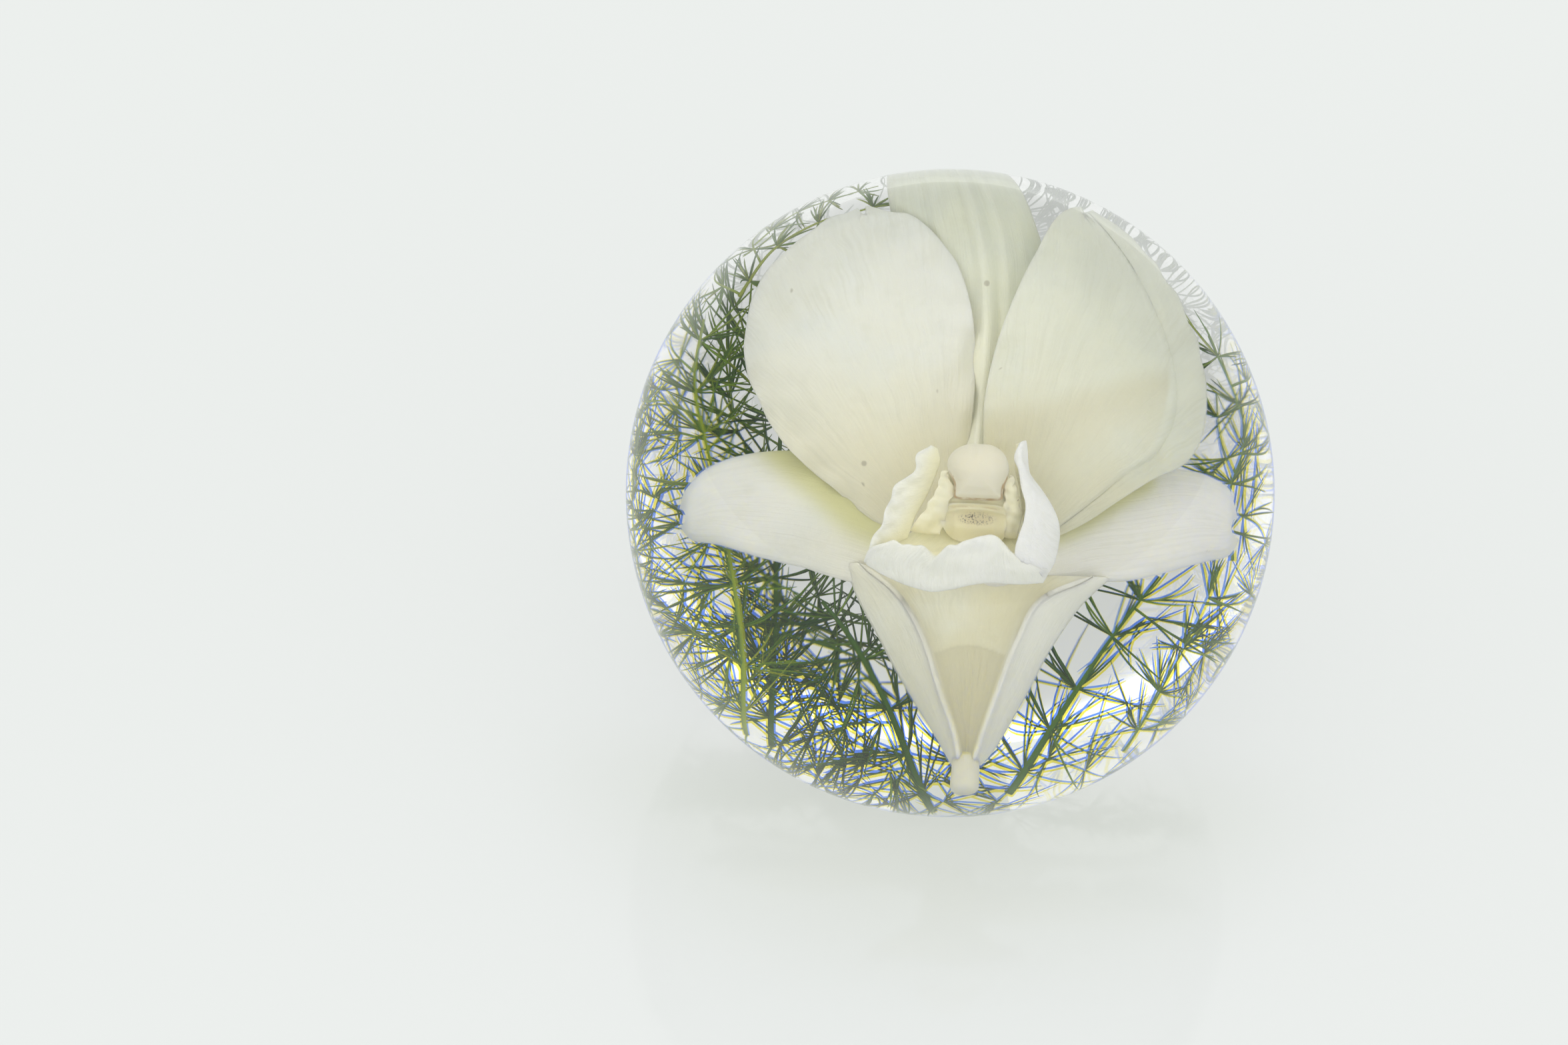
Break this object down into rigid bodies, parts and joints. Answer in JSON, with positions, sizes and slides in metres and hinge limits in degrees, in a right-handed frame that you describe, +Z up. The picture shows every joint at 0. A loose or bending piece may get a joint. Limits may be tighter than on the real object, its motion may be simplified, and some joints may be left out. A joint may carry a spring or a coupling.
{
  "type": "resin paperweight",
  "caption": "Clear resin ball paperweight with a ground flat base, holding a white orchid flower and asparagus fern sprigs.",
  "frame": {"origin": "centre of the ground flat base", "axes": "+Z up through the ball's centre, -Y towards the side that the flower looks to, +X to the right as seen from that side"},
  "size_m": [0.08, 0.08, 0.076],
  "materials": {
    "clear_resin": "clear cast polyester resin, polished",
    "ivory_petal": "dried ivory petal, soft and finely veined",
    "lip_white": "cool grey-white papery petal",
    "column_cream": "waxy cream",
    "fern_green": "dried green needle foliage"
  },
  "bodies": {
    "root": {"resin_dome": "clear_resin", "resin_middle": "clear_resin", "resin_base": "clear_resin", "dorsal_sepal": "ivory_petal", "petal_left": "ivory_petal", "petal_right": "ivory_petal", "lateral_sepal_left": "ivory_petal", "lateral_sepal_right": "ivory_petal", "mentum": "ivory_petal", "lip_side_lobe_left": "ivory_petal", "lip_side_lobe_right": "ivory_petal", "lip_midlobe": "lip_white", "column": "column_cream", "anther_cap": "column_cream", "fern_sprig_left_main": "fern_green", "fern_sprig_left_inner": "fern_green", "fern_sprig_left_top": "fern_green", "fern_sprig_left_rim": "fern_green", "fern_sprig_lower_left": "fern_green", "fern_sprig_right_main": "fern_green", "fern_sprig_right_rim": "fern_green", "fern_sprig_lower_right": "fern_green"}
  },
  "joints": []
}
